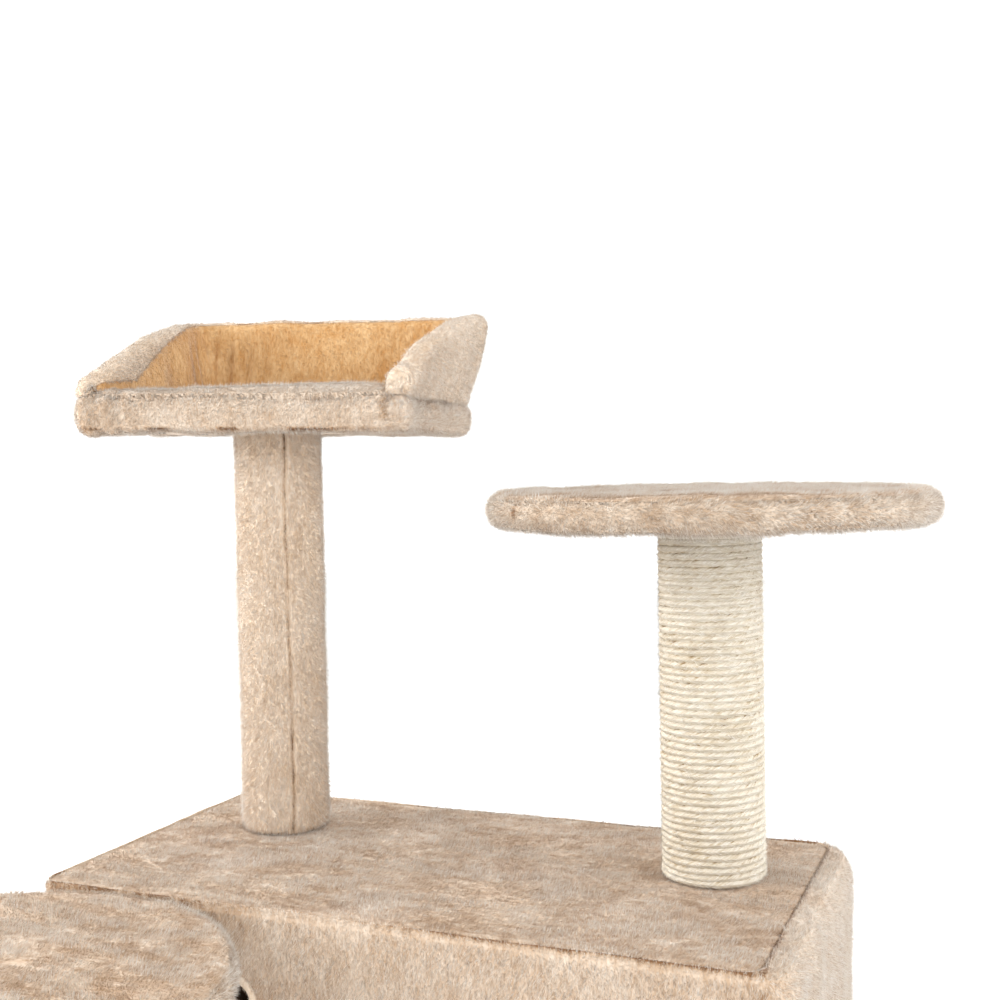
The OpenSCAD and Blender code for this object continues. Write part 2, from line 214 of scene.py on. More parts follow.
def set_points(obj, points):
    obj.data.vertices.foreach_set("co", points.astype(np.float32).ravel())
    obj.data.update()


def push(obj, amount):
    """Moves each vertex along its normal. amount(points, normals) gives how far."""
    p, n = points_of(obj), normals_of(obj)
    set_points(obj, p + n * amount(p, n)[:, None])


def axis_marks(half, r, step):
    """Marks along one axis of a rounded rectangle: (share of the straight part, share of the corner)."""
    corner = max(4, round(1.3 * r / step))
    straight = round(2 * (half - r) / step) if half > r + 1e-6 else 0
    ends = np.linspace(-1, 0, corner + 1)
    middle = np.linspace(-1, 1, straight + 1)[1:-1] if straight else np.zeros(0)
    right = -ends[::-1][(0 if straight else 1):]
    share = np.concatenate([np.full(corner + 1, -1.0), middle, np.ones(len(right))])
    bend = np.concatenate([ends, np.zeros(len(middle)), right])
    return share, bend


class Outline:
    """A rounded rectangle's grid of points, whose edge loop can be drawn again at any size and height."""

    def __init__(self, w, d, r, step):
        self.w, self.d, self.r = w, d, r
        sx, bx = axis_marks(w / 2, r, step)
        sy, by = axis_marks(d / 2, r, step)
        self.sx, self.sy = (a.ravel() for a in np.meshgrid(sx, sy, indexing="ij"))
        bx, by = (a.ravel() for a in np.meshgrid(bx, by, indexing="ij"))
        self.bx = bx * np.sqrt(1 - by * by / 2)
        self.by = by * np.sqrt(1 - bx * bx / 2)
        i = np.arange(len(self.sx)).reshape(-1, len(sy))
        self.quads = np.stack([i[:-1, :-1], i[1:, :-1], i[1:, 1:], i[:-1, 1:]], -1).reshape(-1, 4)
        self.edge = np.concatenate([i[:, 0], i[-1, 1:], i[-2::-1, -1], i[0, -2:0:-1]])

    def fill(self, z, inset):
        """Every grid point, on a plane."""
        return self._at(np.arange(len(self.sx)), self.w - 2 * inset, self.d - 2 * inset, self.r - inset, z)

    def loop(self, inset, z, w=None, d=None, r=None, shift=0.0):
        """The edge loop, drawn in by inset, or at a size of its own."""
        r = max(self.r - inset, 2 * MM) if r is None else r
        w = self.w - 2 * inset if w is None else w
        d = self.d - 2 * inset if d is None else d
        points = self._at(self.edge, w, d, r, z)
        points[:, 0] += shift
        return points

    def _at(self, i, w, d, r, z):
        x = self.sx[i] * max(w / 2 - r, 0) + r * self.bx[i]
        y = self.sy[i] * max(d / 2 - r, 0) + r * self.by[i]
        return np.stack([x, y, np.full(len(i), z)], -1)


def loop_quads(first, second, flip=False):
    """Quads between two closed loops of vertex numbers."""
    a, b = np.asarray(first), np.asarray(second)
    q = np.stack([a, b, np.roll(b, -1), np.roll(a, -1)], -1)
    return q[:, ::-1] if flip else q


def ring_mesh(name, rings, closed, flip):
    """A mesh through rings of points. Closed, it goes on from the last ring to the first; else it has caps."""
    n = len(rings[0])
    loops = [k * n + np.arange(n) for k in range(len(rings))]
    following = loops[1:] + loops[:1] if closed else loops[1:]
    quads = np.concatenate([loop_quads(a, b, flip) for a, b in zip(loops, following)])
    caps = [] if closed else [loops[0], loops[-1][::-1]] if flip else [loops[0][::-1], loops[-1]]
    return make_object(name, np.concatenate(rings), quads, polygons=caps)


def slab_shell(name, outline, z_top, profile, place, soften, inner=3, swell=0.0):
    """A closed cover: a filled top, then edge loops along the profile of (inset, height), then a flat cap.
    soften(points, normals) is how far each point moves outwards, but the last inner loops stay. swell is how
    far the padding may then press it out."""
    points = [outline.fill(z_top, profile[0][0])]
    quads = [outline.quads]
    last = outline.edge
    count = len(points[0])
    for inset, z in profile[1:]:
        points.append(outline.loop(inset, z))
        new = count + np.arange(len(outline.edge))
        quads.append(loop_quads(last, new))
        last, count = new, count + len(new)
    obj = make_object(name, np.concatenate(points), np.concatenate(quads), polygons=[last[::-1]])
    p, n = place(points_of(obj)), place(normals_of(obj)) - place(np.zeros((1, 3)))
    free = np.arange(count) < count - inner * len(last)
    set_points(obj, p + n * (soften(p, n) * free)[:, None])
    if swell:
        inflate(obj, lambda q, m: ~free | (m[:, 2] < -0.3), swell)
    return obj


def inflate(obj, pinned, most):
    """Cloth simulation: the padding presses a cover outwards by at most most, while the pinned points stay."""
    frames = 14
    before = points_of(obj)
    group = obj.vertex_groups.new(name="pinned")
    group.add(np.where(pinned(before, normals_of(obj)))[0].tolist(), 1.0, "REPLACE")
    cloth = obj.modifiers.new("cloth", "CLOTH")
    cloth.settings.vertex_group_mass = "pinned"
    cloth.settings.quality = 4
    cloth.settings.mass = 0.2
    cloth.settings.use_pressure = True
    cloth.settings.uniform_pressure_force = 2
    cloth.settings.effector_weights.gravity = 0
    cloth.settings.tension_stiffness = 8
    cloth.settings.compression_stiffness = 8
    cloth.settings.bending_stiffness = 0.4
    cloth.collision_settings.use_collision = False
    cloth.point_cache.frame_end = frames
    scene = bpy.context.scene
    for step in range(1, frames + 1):
        scene.frame_set(step)
    result = obj.evaluated_get(bpy.context.evaluated_depsgraph_get()).data
    shift = read(result.vertices, "co") - before
    far = np.linalg.norm(shift, axis=1, keepdims=True)
    obj.modifiers.clear()
    obj.vertex_groups.clear()
    scene.frame_set(1)
    set_points(obj, before + shift * np.minimum(1, most / np.maximum(far, 1e-9)))


def arc(inset, z, r, start, end, steps):
    """Points (inset, height) of an arc round (inset, z); 90 degrees is up and 0 is outwards."""
    angles = np.radians(np.linspace(start, end, steps + 1))
    return [(inset - r * math.cos(a), z + r * math.sin(a)) for a in angles]


def moved(x, y, turn=0.0):
    """A function that turns points about Z, then moves them."""
    c, s = math.cos(turn), math.sin(turn)

    def place(p):
        return np.stack([x + c * p[:, 0] - s * p[:, 1], y + s * p[:, 0] + c * p[:, 1], p[:, 2]], -1)

    return place


# ---- Pile: short fibres that stand or lie on a cover, each a slim three-sided spike ----

SPIKES_A_PIECE = 64000
RISE = 1.8 * MM
ROOT_DEPTH = 0.3 * MM
FACES_OF_SPIKE = np.array([[0, 1, 3], [1, 2, 3], [2, 0, 3]])


def sample(ground, where, per_m2, rng, patchy):
    """Random places on the ground's faces that where(centres, normals) picks, with their normals. patchy
    leaves bare patches where the ground lies flat."""
    corners = triangles_of(ground.data)
    p, n = points_of(ground), normals_of(ground)
    a, b, c = (p[corners[:, k]] for k in range(3))
    cross = np.cross(b - a, c - a)
    keep = where((a + b + c) / 3, unit(cross))
    corners = corners[keep]
    area = np.linalg.norm(cross[keep], axis=1) / 2
    count = int(area.sum() * per_m2)
    ladder = np.cumsum(area) / area.sum()
    pick = np.searchsorted(ladder, (np.arange(count) + rng.random(count)) / count).clip(0, len(area) - 1)
    s, t = rng.random(count), rng.random(count)
    s, t = np.where(s + t > 1, 1 - s, s), np.where(s + t > 1, 1 - t, t)
    share = np.stack([1 - s - t, s, t], -1)[:, :, None]
    root, up = (p[corners[pick]] * share).sum(1), unit((n[corners[pick]] * share).sum(1))
    if patchy:
        keep = noise(root, np.array([0.028, 0.011, 0.03]), 3) > 1.15 * smooth_step(up[:, 2], 0.15, 1) - 1
        root, up = root[keep], up[keep]
    return root, up


def hairs(root, up, way, rng, seed, length, lean, wisp, width):
    """Corners and tones of spikes that lean from their roots to the way. Neighbours bend together in wisps."""
    count = len(root)
    bend = np.stack([noise(root, wisp, seed + k) for k in (1, 2, 3)], -1)
    way = unit(way) + 0.85 * bend + rng.normal(0, 0.16, (count, 3))
    way = unit(way - up * (way * up).sum(1)[:, None])
    side = np.cross(up, way)
    tilt = lean + 19 * noise(root, wisp * 1.3, seed + 4) + rng.normal(0, 7, count)
    tilt = np.radians(np.clip(tilt, 5, 84))[:, None]
    size = length * rng.uniform(0.7, 1.2, count) * (1 + 0.2 * noise(root, wisp, seed + 5))
    spin = rng.random(count) * 2 * math.pi
    thick = width * rng.uniform(0.7, 1.3, count)[:, None]
    corners = np.empty((count, 4, 3))
    for k in range(3):
        angle = (spin + k * 2 * math.pi / 3)[:, None]
        corners[:, k] = root + (side * np.cos(angle) + way * np.sin(angle)) * thick - up * ROOT_DEPTH
    corners[:, 3] = root + (up * np.cos(tilt) + way * np.sin(tilt)) * size[:, None]
    return corners, 0.9 * noise(root, wisp * 0.7, seed + 6) + rng.normal(0, 0.5, count)


def flatness(normals):
    """1 where the ground is level and 0 where it is steep."""
    return smooth_step(normals[:, 2], 0.6, 0.95)


def pile(name, ground, material, slot, replaced, where, lay, seed, per_m2=520000, length=3.9 * MM, lean=62,
         height=None, shade=None, halo=True, wisp=3.6 * MM, width=0.24 * MM):
    """Grows a cover's pile. lay(points, normals) is the way it lies, lean is its tilt in degrees,
    height(points) scales its length and shade(points) darkens or lightens it as painted shade or light.
    A halo adds sparse and more upright hairs whose near-white colour is painted sheen, which whitens the
    cover where it is seen from the side."""
    rng = np.random.default_rng(seed)
    root, up = sample(ground, where, per_m2, rng, patchy=material is halo_mat)
    tall = length * height(root) if height else length
    corners, tone = hairs(root, up, lay(root, up), rng, seed, tall, lean, wisp, width)
    values = {"tone": tone, "flat": flatness(up), "shade": shade(root) if shade else np.zeros(len(root))}
    if halo:
        add_attribute(ground, "flat", flatness(normals_of(ground)))
        if shade:
            add_attribute(ground, "shade", shade(points_of(ground)))
        pile(name.replace("pile", "halo"), ground, halo_mat, slot, replaced, where, lay, seed + 7,
             per_m2=260000, length=length * 1.2, lean=30, height=height, shade=shade, halo=False, wisp=wisp,
             width=0.17 * MM)
    pieces = math.ceil(len(root) / SPIKES_A_PIECE)
    order = rng.permutation(len(root))
    for k in range(pieces):
        part = order[k::pieces]
        first = np.arange(len(part))[:, None, None] * 4
        label = f"{name}_{k + 1}" if pieces > 1 else name
        obj = make_object(label, corners[part].reshape(-1, 3), tris=(first + FACES_OF_SPIKE).reshape(-1, 3))
        add_attribute(obj, "tip", np.tile([0.0, 0.0, 0.0, 1.0], len(part)))
        for key, value in values.items():
            add_attribute(obj, key, np.repeat(value[part], 4))
        finish_piece(obj, material, slot, *replaced)


def add_attribute(obj, label, values):
    values = np.asarray(values, np.float32)
    kind, key = ("FLOAT_VECTOR", "vector") if values.ndim == 2 else ("FLOAT", "value")
    obj.data.attributes.new(label, kind, "POINT").data.foreach_set(key, values.ravel())


def everywhere(centres, normals):
    return np.ones(len(centres), bool)


def swirl(base, spread, size, seed):
    """A lay that turns about the vertical, from noise, round a main direction."""
    base = np.asarray(base, float)

    def lay(points, normals):
        angle = spread * noise(points, size, seed)
        c, s = np.cos(angle), np.sin(angle)
        x = base[0] * c - base[1] * s
        y = base[0] * s + base[1] * c
        return np.stack([x, y, np.full(len(points), base[2])], -1)

    return lay


# ---- Materials ----

def node(tree, kind, **settings):
    made = tree.nodes.new(kind)
    inputs = settings.pop("inputs", {})
    for key, value in settings.items():
        setattr(made, key, value)
    for key, value in inputs.items():
        if hasattr(value, "is_output"):
            tree.links.new(value, made.inputs[key])
        else:
            made.inputs[key].default_value = value
    return made


def new_material(name):
    made = bpy.data.materials.new(name)
    made.use_nodes = True
    tree = made.node_tree
    return made, tree, tree.nodes["Principled BSDF"]


def attribute(tree, label, output="Fac"):
    return node(tree, "ShaderNodeAttribute", attribute_name=label).outputs[output]


def paint(tree, shader, colour, roughness):
    tree.links.new(colour, shader.inputs["Base Color"])
    shader.inputs["Roughness"].default_value = roughness


def let_light_through(tree, shader, colour):
    """Half of the surface lets light through, as a hair does."""
    through = node(tree, "ShaderNodeBsdfTranslucent", inputs={"Color": colour})
    both = node(tree, "ShaderNodeMixShader", inputs={0: 0.5, 1: shader.outputs[0], 2: through.outputs[0]})
    tree.links.new(both.outputs[0], tree.nodes["Material Output"].inputs["Surface"])


def mapped_noise(tree, scale, size, detail=2.0, distortion=0.0, source=None):
    """Noise in the object's own space, or source's: scale stretches each axis, size is features per metre."""
    if source is None:
        source = node(tree, "ShaderNodeTexCoord").outputs["Object"]
    mapping = node(tree, "ShaderNodeMapping", inputs={"Vector": source, "Scale": scale})
    return node(tree, "ShaderNodeTexNoise", inputs={
        "Vector": mapping.outputs["Vector"], "Scale": size, "Detail": detail, "Distortion": distortion,
    }).outputs["Fac"]


def add(tree, *terms):
    """Sum of sockets, (socket, weight) pairs and plain numbers."""
    total = None
    for term in terms:
        if isinstance(term, tuple):
            product = node(tree, "ShaderNodeMath", operation="MULTIPLY", inputs={0: term[0], 1: term[1]})
            term = product.outputs[0]
        if total is None:
            total = term
        else:
            total = node(tree, "ShaderNodeMath", operation="ADD", inputs={0: total, 1: term}).outputs[0]
    return total


def ramp(tree, fac, stops):
    made = node(tree, "ShaderNodeValToRGB", inputs={"Fac": fac})
    elements = made.color_ramp.elements
    while len(elements) < len(stops):
        elements.new(0.5)
    for element, (place, colour) in zip(elements, stops):
        element.position = place
        element.color = colour
    return made.outputs["Color"]


def bump(tree, shader, height, distance, strength):
    made = node(tree, "ShaderNodeBump", inputs={"Height": height, "Distance": distance, "Strength": strength})
    tree.links.new(made.outputs["Normal"], shader.inputs["Normal"])


def plush_layer(name, fibres, palette, rim, patch, wisp, lay, contrast):
    """One layer of short-pile plush. fibres is True on the spikes and False on the cover they grow from.
    patch and wisp are how many of the soft patches and of the smaller strokes fit in a metre, and lay
    stretches the strokes. Level places take palette and steep ones take rim, mapped paler: painted light,
    for the dimmer light on tops and the sheen on steep faces."""
    made, tree, shader = new_material(name)
    patches = mapped_noise(tree, (1, 1, 1), patch, detail=3, distortion=0.9)
    strokes = mapped_noise(tree, lay, wisp, distortion=0.8)
    fine = mapped_noise(tree, lay, wisp * 3.2)
    terms = [(patches, 1.1 * contrast), (strokes, contrast), (fine, contrast), 0.5 - 1.55 * contrast,
             (attribute(tree, "tone"), 0.13)]
    terms += [(attribute(tree, "tip"), 0.85), -0.3] if fibres else [-0.2]
    plain = node(tree, "ShaderNodeMath", operation="MAXIMUM", inputs={0: add(tree, *terms), 1: 0.12})
    # The shade attribute adds painted shade in seams, creases and dimples and where other parts cast shadows,
    # down to PAINTED_SHADE
    fac = add(tree, plain.outputs[0], attribute(tree, "shade"))
    level = ramp(tree, fac, [(0.0, PAINTED_SHADE), (0.12, palette[0]), (0.5, palette[1]), (0.9, palette[2])])
    paler = add(tree, (fac, 0.8), 0.1)
    steep = ramp(tree, paler, [(0.0, PAINTED_SHADE), (0.19, rim[0]), (0.5, rim[1]), (0.9, rim[2])])
    # Painted light: level and steep faces of one plush take different colours
    mix = node(tree, "ShaderNodeMix", data_type="RGBA",
               inputs={0: attribute(tree, "flat"), 6: steep, 7: level})
    colour = mix.outputs[2]
    paint(tree, shader, colour, 0.9)
    shader.inputs["Specular IOR Level"].default_value = 0.2
    shader.inputs["Sheen Weight"].default_value = 0.7
    shader.inputs["Sheen Roughness"].default_value = 0.35
    shader.inputs["Sheen Tint"].default_value = srgb(255, 250, 243)
    if fibres:
        let_light_through(tree, shader, colour)
    else:
        bump(tree, shader, fine, 1.2 * MM, 0.7)
    return made


def plush(name, *look):
    """The materials of a cover and of its pile."""
    return plush_layer(f"{name}_cover", False, *look), plush_layer(f"{name}_pile", True, *look)


def sisal(name):
    """Sisal rope: streaks follow the strands, and short strokes of painted shade lie in the gaps between
    turns.
    """
    made, tree, shader = new_material(name)
    along = attribute(tree, "fibre", "Vector")
    streaks = mapped_noise(tree, (1, 1, 1), 1.0, detail=4, distortion=0.4, source=along)
    patch = mapped_noise(tree, (1, 1, 1), 26)
    dash = mapped_noise(tree, (0.9, 0.3, 1.9), 1.0, detail=1, source=along)
    dash = node(tree, "ShaderNodeMapRange", inputs={
        "Value": dash, "From Min": 0.56, "From Max": 0.66, "To Min": 0, "To Max": 1}).outputs[0]
    # Painted shade where one turn meets the next
    gap_shade = node(tree, "ShaderNodeMath", operation="MULTIPLY", inputs={0: attribute(tree, "gap"), 1: dash})
    shade = add(tree, (streaks, 1.1), (patch, 0.35), (gap_shade.outputs[0], -0.5), -0.17)
    paint(tree, shader, ramp(tree, shade, SISAL), 0.8)
    shader.inputs["Specular IOR Level"].default_value = 0.2
    bump(tree, shader, streaks, 0.9 * MM, 1.0)
    return made


def sheen_hair(name):
    """The palest hairs of the plush, which light shines through; their near-white colour is painted sheen."""
    made, tree, shader = new_material(name)
    shade = add(tree, (attribute(tree, "tone"), 0.15), (mapped_noise(tree, (1, 1, 1), 40), 0.6), 0.2)
    colour = ramp(tree, shade, HALO_SHEEN)
    paint(tree, shader, colour, 0.8)
    let_light_through(tree, shader, colour)
    return made


def stray_sisal(name):
    """Loose sisal fibres: most are pale, and a few are brown."""
    made, tree, shader = new_material(name)
    shade = add(tree, (attribute(tree, "tone"), 0.3), (mapped_noise(tree, (1, 1, 1), 60), 0.4), 0.35)
    paint(tree, shader, ramp(tree, shade, STRAY), 0.6)
    return made


def speckled(name, dark, light, size, roughness, metallic=0.0, distance=0.3 * MM):
    """A plain material with grain: particle board, card, backing cloth, steel, and the dark brown painted
    shade inside the box.
    """
    made, tree, shader = new_material(name)
    grain = mapped_noise(tree, (1, 1, 1), size, detail=4)
    spots = mapped_noise(tree, (1, 1, 1), size / 7)
    paint(tree, shader, ramp(tree, add(tree, (grain, 0.8), (spots, 0.4), -0.1), [(0.3, dark), (0.7, light)]),
          roughness)
    shader.inputs["Metallic"].default_value = metallic
    bump(tree, shader, grain, distance, 0.6)
    return made


# The plush's darkest colour is painted shade, reached only where the shade attribute darkens it
PAINTED_SHADE = srgb(128, 94, 64)
# FUR, RIM_FUR, PALE_FUR and WALL_FUR are copies of one plush colour, each made lighter or darker for how light
# falls on its pieces: painted light
FUR = (srgb(188, 156, 124), srgb(222, 199, 174), srgb(250, 243, 234))
RIM_FUR = (srgb(180, 156, 132), srgb(208, 191, 172), srgb(240, 235, 228))
PALE_FUR = (srgb(188, 162, 136), srgb(218, 202, 184), srgb(246, 242, 237))
WALL_FUR = (srgb(212, 188, 161), srgb(236, 220, 201), srgb(253, 249, 243))
FLEECE = (srgb(190, 142, 88), srgb(218, 181, 133), srgb(236, 212, 175))
SISAL = [(0.1, srgb(140, 112, 72)), (0.34, srgb(196, 180, 153)), (0.7, srgb(228, 221, 207))]
STRAY = [(0.0, srgb(160, 128, 84)), (0.2, srgb(222, 212, 192)), (0.8, srgb(248, 245, 238))]
HALO_SHEEN = [(0.2, srgb(238, 226, 210)), (0.8, srgb(255, 253, 250))]
wall_cover_mat, wall_pile_mat = plush("plush_wall", WALL_FUR, WALL_FUR, 14, 150, (1, 1, 0.35), 0.6)
cover_mat, pile_mat = plush("plush", PALE_FUR, PALE_FUR, 14, 170, (1, 1, 0.35), 0.6)
top_cover_mat, top_pile_mat = plush("plush_top", FUR, RIM_FUR, 26, 85, (0.5, 1.1, 1), 0.8)
lining_mat, lining_pile_mat = plush("lining", FLEECE, FLEECE, 16, 150, (1, 1, 0.4), 0.6)
halo_mat = sheen_hair("plush_halo")
sisal_mat = sisal("sisal_rope")
fibre_mat = stray_sisal("sisal_fibres")
board_mat = speckled("particle_board", srgb(120, 84, 52), srgb(176, 138, 96), 300, 0.85)
card_mat = speckled("tube_card", srgb(130, 100, 70), srgb(164, 132, 98), 160, 0.9)
steel_mat = speckled("zinc_steel", srgb(150, 150, 152), srgb(190, 190, 192), 250, 0.38, metallic=1.0,
                     distance=0.1 * MM)
backing_mat = speckled("brown_backing", srgb(58, 38, 24), srgb(86, 60, 40), 600, 0.95)
deck_mat = speckled("brown_board", srgb(60, 38, 24), srgb(92, 64, 42), 260, 0.85)
# The box's inside is dark brown: painted shade for the dark doorway
box_inside_shade_mat = speckled("box_inside_painted_shade", srgb(66, 46, 30), srgb(96, 70, 48), 240, 0.95)


def finish_piece(obj, material, slot, *nodes):
    """Gives a piece its material, hangs it on the root body if it has no parent, and hides the CAD nodes
    that it stands for. slot is not used.
    """
    obj.data.materials.clear()
    obj.data.materials.append(material)
    if obj.parent is None:
        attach(obj, "root")
    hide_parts(*nodes)


# ---- Base, round platforms and the box's top ----

def cover_profile(height, edge, foot, hem_in, hem_t, wall_t, low):
    """Section of a cover from its top edge, round the rim, under the hem and back up inside. edge and foot
    are the rim's radii above and below."""
    sides = np.linspace(height - edge, foot, 2 + round((height - edge - foot) / (5 * MM)))[1:-1]
    return (arc(edge, low + height - edge, edge, 90, 0, 6)
            + [(0.0, low + z) for z in sides]
            + arc(foot, low + foot, foot, 0, -90, 5)
            + [(foot + (hem_in - foot) * s, low) for s in (0.25, 0.5, 0.75, 1)]
            + [(hem_in, low + hem_t), (wall_t, low + hem_t), (wall_t, low + height - wall_t)])


def wobble(amount, size, seed, fine=0.35):
    def how(points, normals):
        return amount * (noise(points, size, seed) + fine * noise(points, size / 3.5, seed + 1))

    return how


def base_cover():
    """The base's plush, which has no pile where the box stands on it."""
    w, d = base_high.x - base_low.x, base_high.y - base_low.y
    outline = Outline(w - 2 * RISE, d - 2 * RISE, BASE_R, 5 * MM)
    top = BASE_TOP - RISE
    profile = cover_profile(top, 5 * MM, 4 * MM, 42 * MM, 2 * MM, 4 * MM - RISE, 0.0)

    def soft(p, n):
        return wobble(0.8 * MM, 0.03, 11)(p, n) * (p[:, 2] > 4 * MM)

    obj = slab_shell("base_plush", outline, top, profile, moved(0, 0), soft)
    finish_piece(obj, top_cover_mat, "plush", "base_cover")

    def where(centres, normals):
        under_box = np.all((centres[:, :2] > np.array(wall_low[:2]) + 10 * MM)
                           & (centres[:, :2] < np.array(wall_high[:2]) - 10 * MM), 1)
        rim = normals[:, 2] > -0.2
        outer = (np.abs(centres[:, 0]) > w / 2 - 12 * MM) | (np.abs(centres[:, 1]) > d / 2 - 12 * MM)
        return rim & ~under_box & (outer | (normals[:, 2] > 0.5)) & (centres[:, 2] > 4 * MM)

    pile("base_pile", obj, top_pile_mat, "plush", ["base_cover"], where,
         swirl((1, 0.2, 0), 1.6, 0.06, 12), 130, per_m2=300000)


def round_platform(label, seed):
    """The perch and the step. Only the perch has a staple's dimple on its rim, painted as a spot of shade."""
    low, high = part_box(f"{label}_cover")
    r = (high.x - low.x) / 2 - RISE
    height = high.z - low.z - RISE - 1.2 * MM
    outline = Outline(2 * r, 2 * r, r, 3.5 * MM)
    profile = cover_profile(height, 12 * MM, 11 * MM, 46 * MM, 2 * MM, 5 * MM - RISE, low.z)
    centre = (low + high) / 2
    soft = wobble(1.2 * MM, 0.035, seed)
    obj = slab_shell(f"{label}_plush", outline, low.z + height, profile, moved(centre.x, centre.y), soft)
    finish_piece(obj, top_cover_mat, "plush", f"{label}_cover", f"{label}_foam")

    def where(centres, normals):
        level_top = (normals[:, 2] > 0.5) & (centres[:, 2] > high.z - 4 * MM)
        return (off_axis(centres, centre) > r - 22 * MM) | level_top

    def lay(points, normals):
        flat = swirl((1, 0.1, 0), 1.4, 0.05, seed + 2)(points, normals)
        level = smooth_step(normals[:, 2], -0.1, 0.6)
        rim = unit(round_axis(points, centre)) * (0.9 + 0.5 * noise(points, 0.03, seed + 3))[:, None]
        steep = rim + upright(0.7 * level - 0.5)
        return steep + (flat - steep) * smooth_step(normals[:, 2], 0.6, 0.97)[:, None]

    def shade(points):
        # The staple's dimple is only a spot of painted shade on the perch's rim
        dimple = np.array([centre.x - 0.656 * r, centre.y - 0.755 * r, low.z + 0.5 * height])
        depth = 0.7 if label == "perch" else 0.0
        return -depth * peak(np.linalg.norm(points - dimple, axis=1), 3 * MM)

    pile(f"{label}_pile", obj, top_pile_mat, "plush", [f"{label}_cover"], where, lay, seed * 10,
         length=4.6 * MM, lean=58, wisp=4.6 * MM, shade=shade)


def seam_shade(points):
    """Painted shade close to the seam between the box's top and its walls, in its groove, above all at its
    right end.
    """
    half = np.array([top_high.x - top_low.x, top_high.y - top_low.y]) / 2
    middle = np.array([top_high.x + top_low.x, top_high.y + top_low.y]) / 2
    gap = (half - np.abs(points[:, :2] - middle)).min(1)
    away = np.hypot(gap + 0.5 * MM, points[:, 2] - BOX_TOP + 1.5 * MM)
    strength = 0.1 + 0.36 * smooth_step(points[:, 0], -0.05, 0.2) + 0.15 * noise(points, 0.02, 24)
    return -strength * peak(away, 2 * MM)


def drop_left_edge(obj):
    """The left end's top edge is rounded down a little further than the others."""
    p = points_of(obj)
    left = smooth_step(-p[:, 0], -top_low.x - 17 * MM, -top_low.x)
    p[:, 2] -= 1.5 * MM * left * (p[:, 2] > BOX_TOP - 8 * MM)
    set_points(obj, p)


def box_top():
    """The plush on the box's top, shorter towards its edge."""
    w, d = top_high.x - top_low.x, top_high.y - top_low.y
    centre = (top_low + top_high) / 2
    outline = Outline(w, d, TOP_R, 4 * MM)
    edge_r = 2.1 * MM
    top = BOX_TOP - RISE
    profile = arc(edge_r, top - edge_r, edge_r, 90, 0, 4) + [(0.5 * MM, top_low.z), (6 * MM, top_low.z)]
    soft = wobble(0.9 * MM, 0.05, 21)
    obj = slab_shell("box_top_plush", outline, top, profile, moved(centre.x, centre.y), soft, inner=1)
    drop_left_edge(obj)
    finish_piece(obj, top_cover_mat, "plush", "box_top_cover")

    def where(centres, normals):
        return (normals[:, 2] > 0.3) & (centres[:, 2] > top_low.z)

    def height(points):
        gap = (np.array([w, d]) / 2 - np.abs(points[:, :2] - np.array(centre[:2]))).min(1)
        return 0.45 + 0.55 * smooth_step(gap, 0, 8 * MM)

    pile("box_top_pile", obj, top_pile_mat, "plush", ["box_top_cover"], where,
         swirl((1, 0.35, 0), 1.5, 0.055, 22), 230, per_m2=700000, height=height, shade=seam_shade)


# ---- The box's walls ----

def wall_rows(w, d, shift):
    """The band's edge loops, up the outside, over to the seam and down the inside, each as its width, depth,
    corner radius, shift along X and height."""
    seam_w, seam_d = top_high.x - top_low.x + 1 * MM, top_high.y - top_low.y + 1 * MM
    roll = 15 * MM
    roll_z = BOX_TOP - roll
    rows = []
    for z in np.linspace(BASE_TOP, roll_z, round((roll_z - BASE_TOP) / (4 * MM)) + 1):
        tuck = 3 * MM * (1 - smooth_step(z, BASE_TOP, BASE_TOP + 14 * MM))
        rows.append((w - 2 * tuck, d - 2 * tuck, WALL_R, shift, z))
    for turn in np.linspace(0, math.pi / 2, 9)[1:]:
        t = (1 - math.cos(turn)) ** 1.7
        rows.append((w + (seam_w - w) * t, d + (seam_d - d) * t, WALL_R - 5 * MM * t, shift * (1 - t),
                     roll_z + (roll - 1 * MM) * math.sin(turn) ** 0.8))
    rows.append((seam_w - 1 * MM, seam_d - 1 * MM, 14 * MM, 0, BOX_TOP - 4 * MM))
    core_w, core_d = core_high.x - core_low.x + 0.5 * MM, core_high.y - core_low.y + 0.5 * MM
    return rows + [(core_w, core_d, 4 * MM, 0, z) for z in (BOX_TOP - 5 * MM, BASE_TOP)]


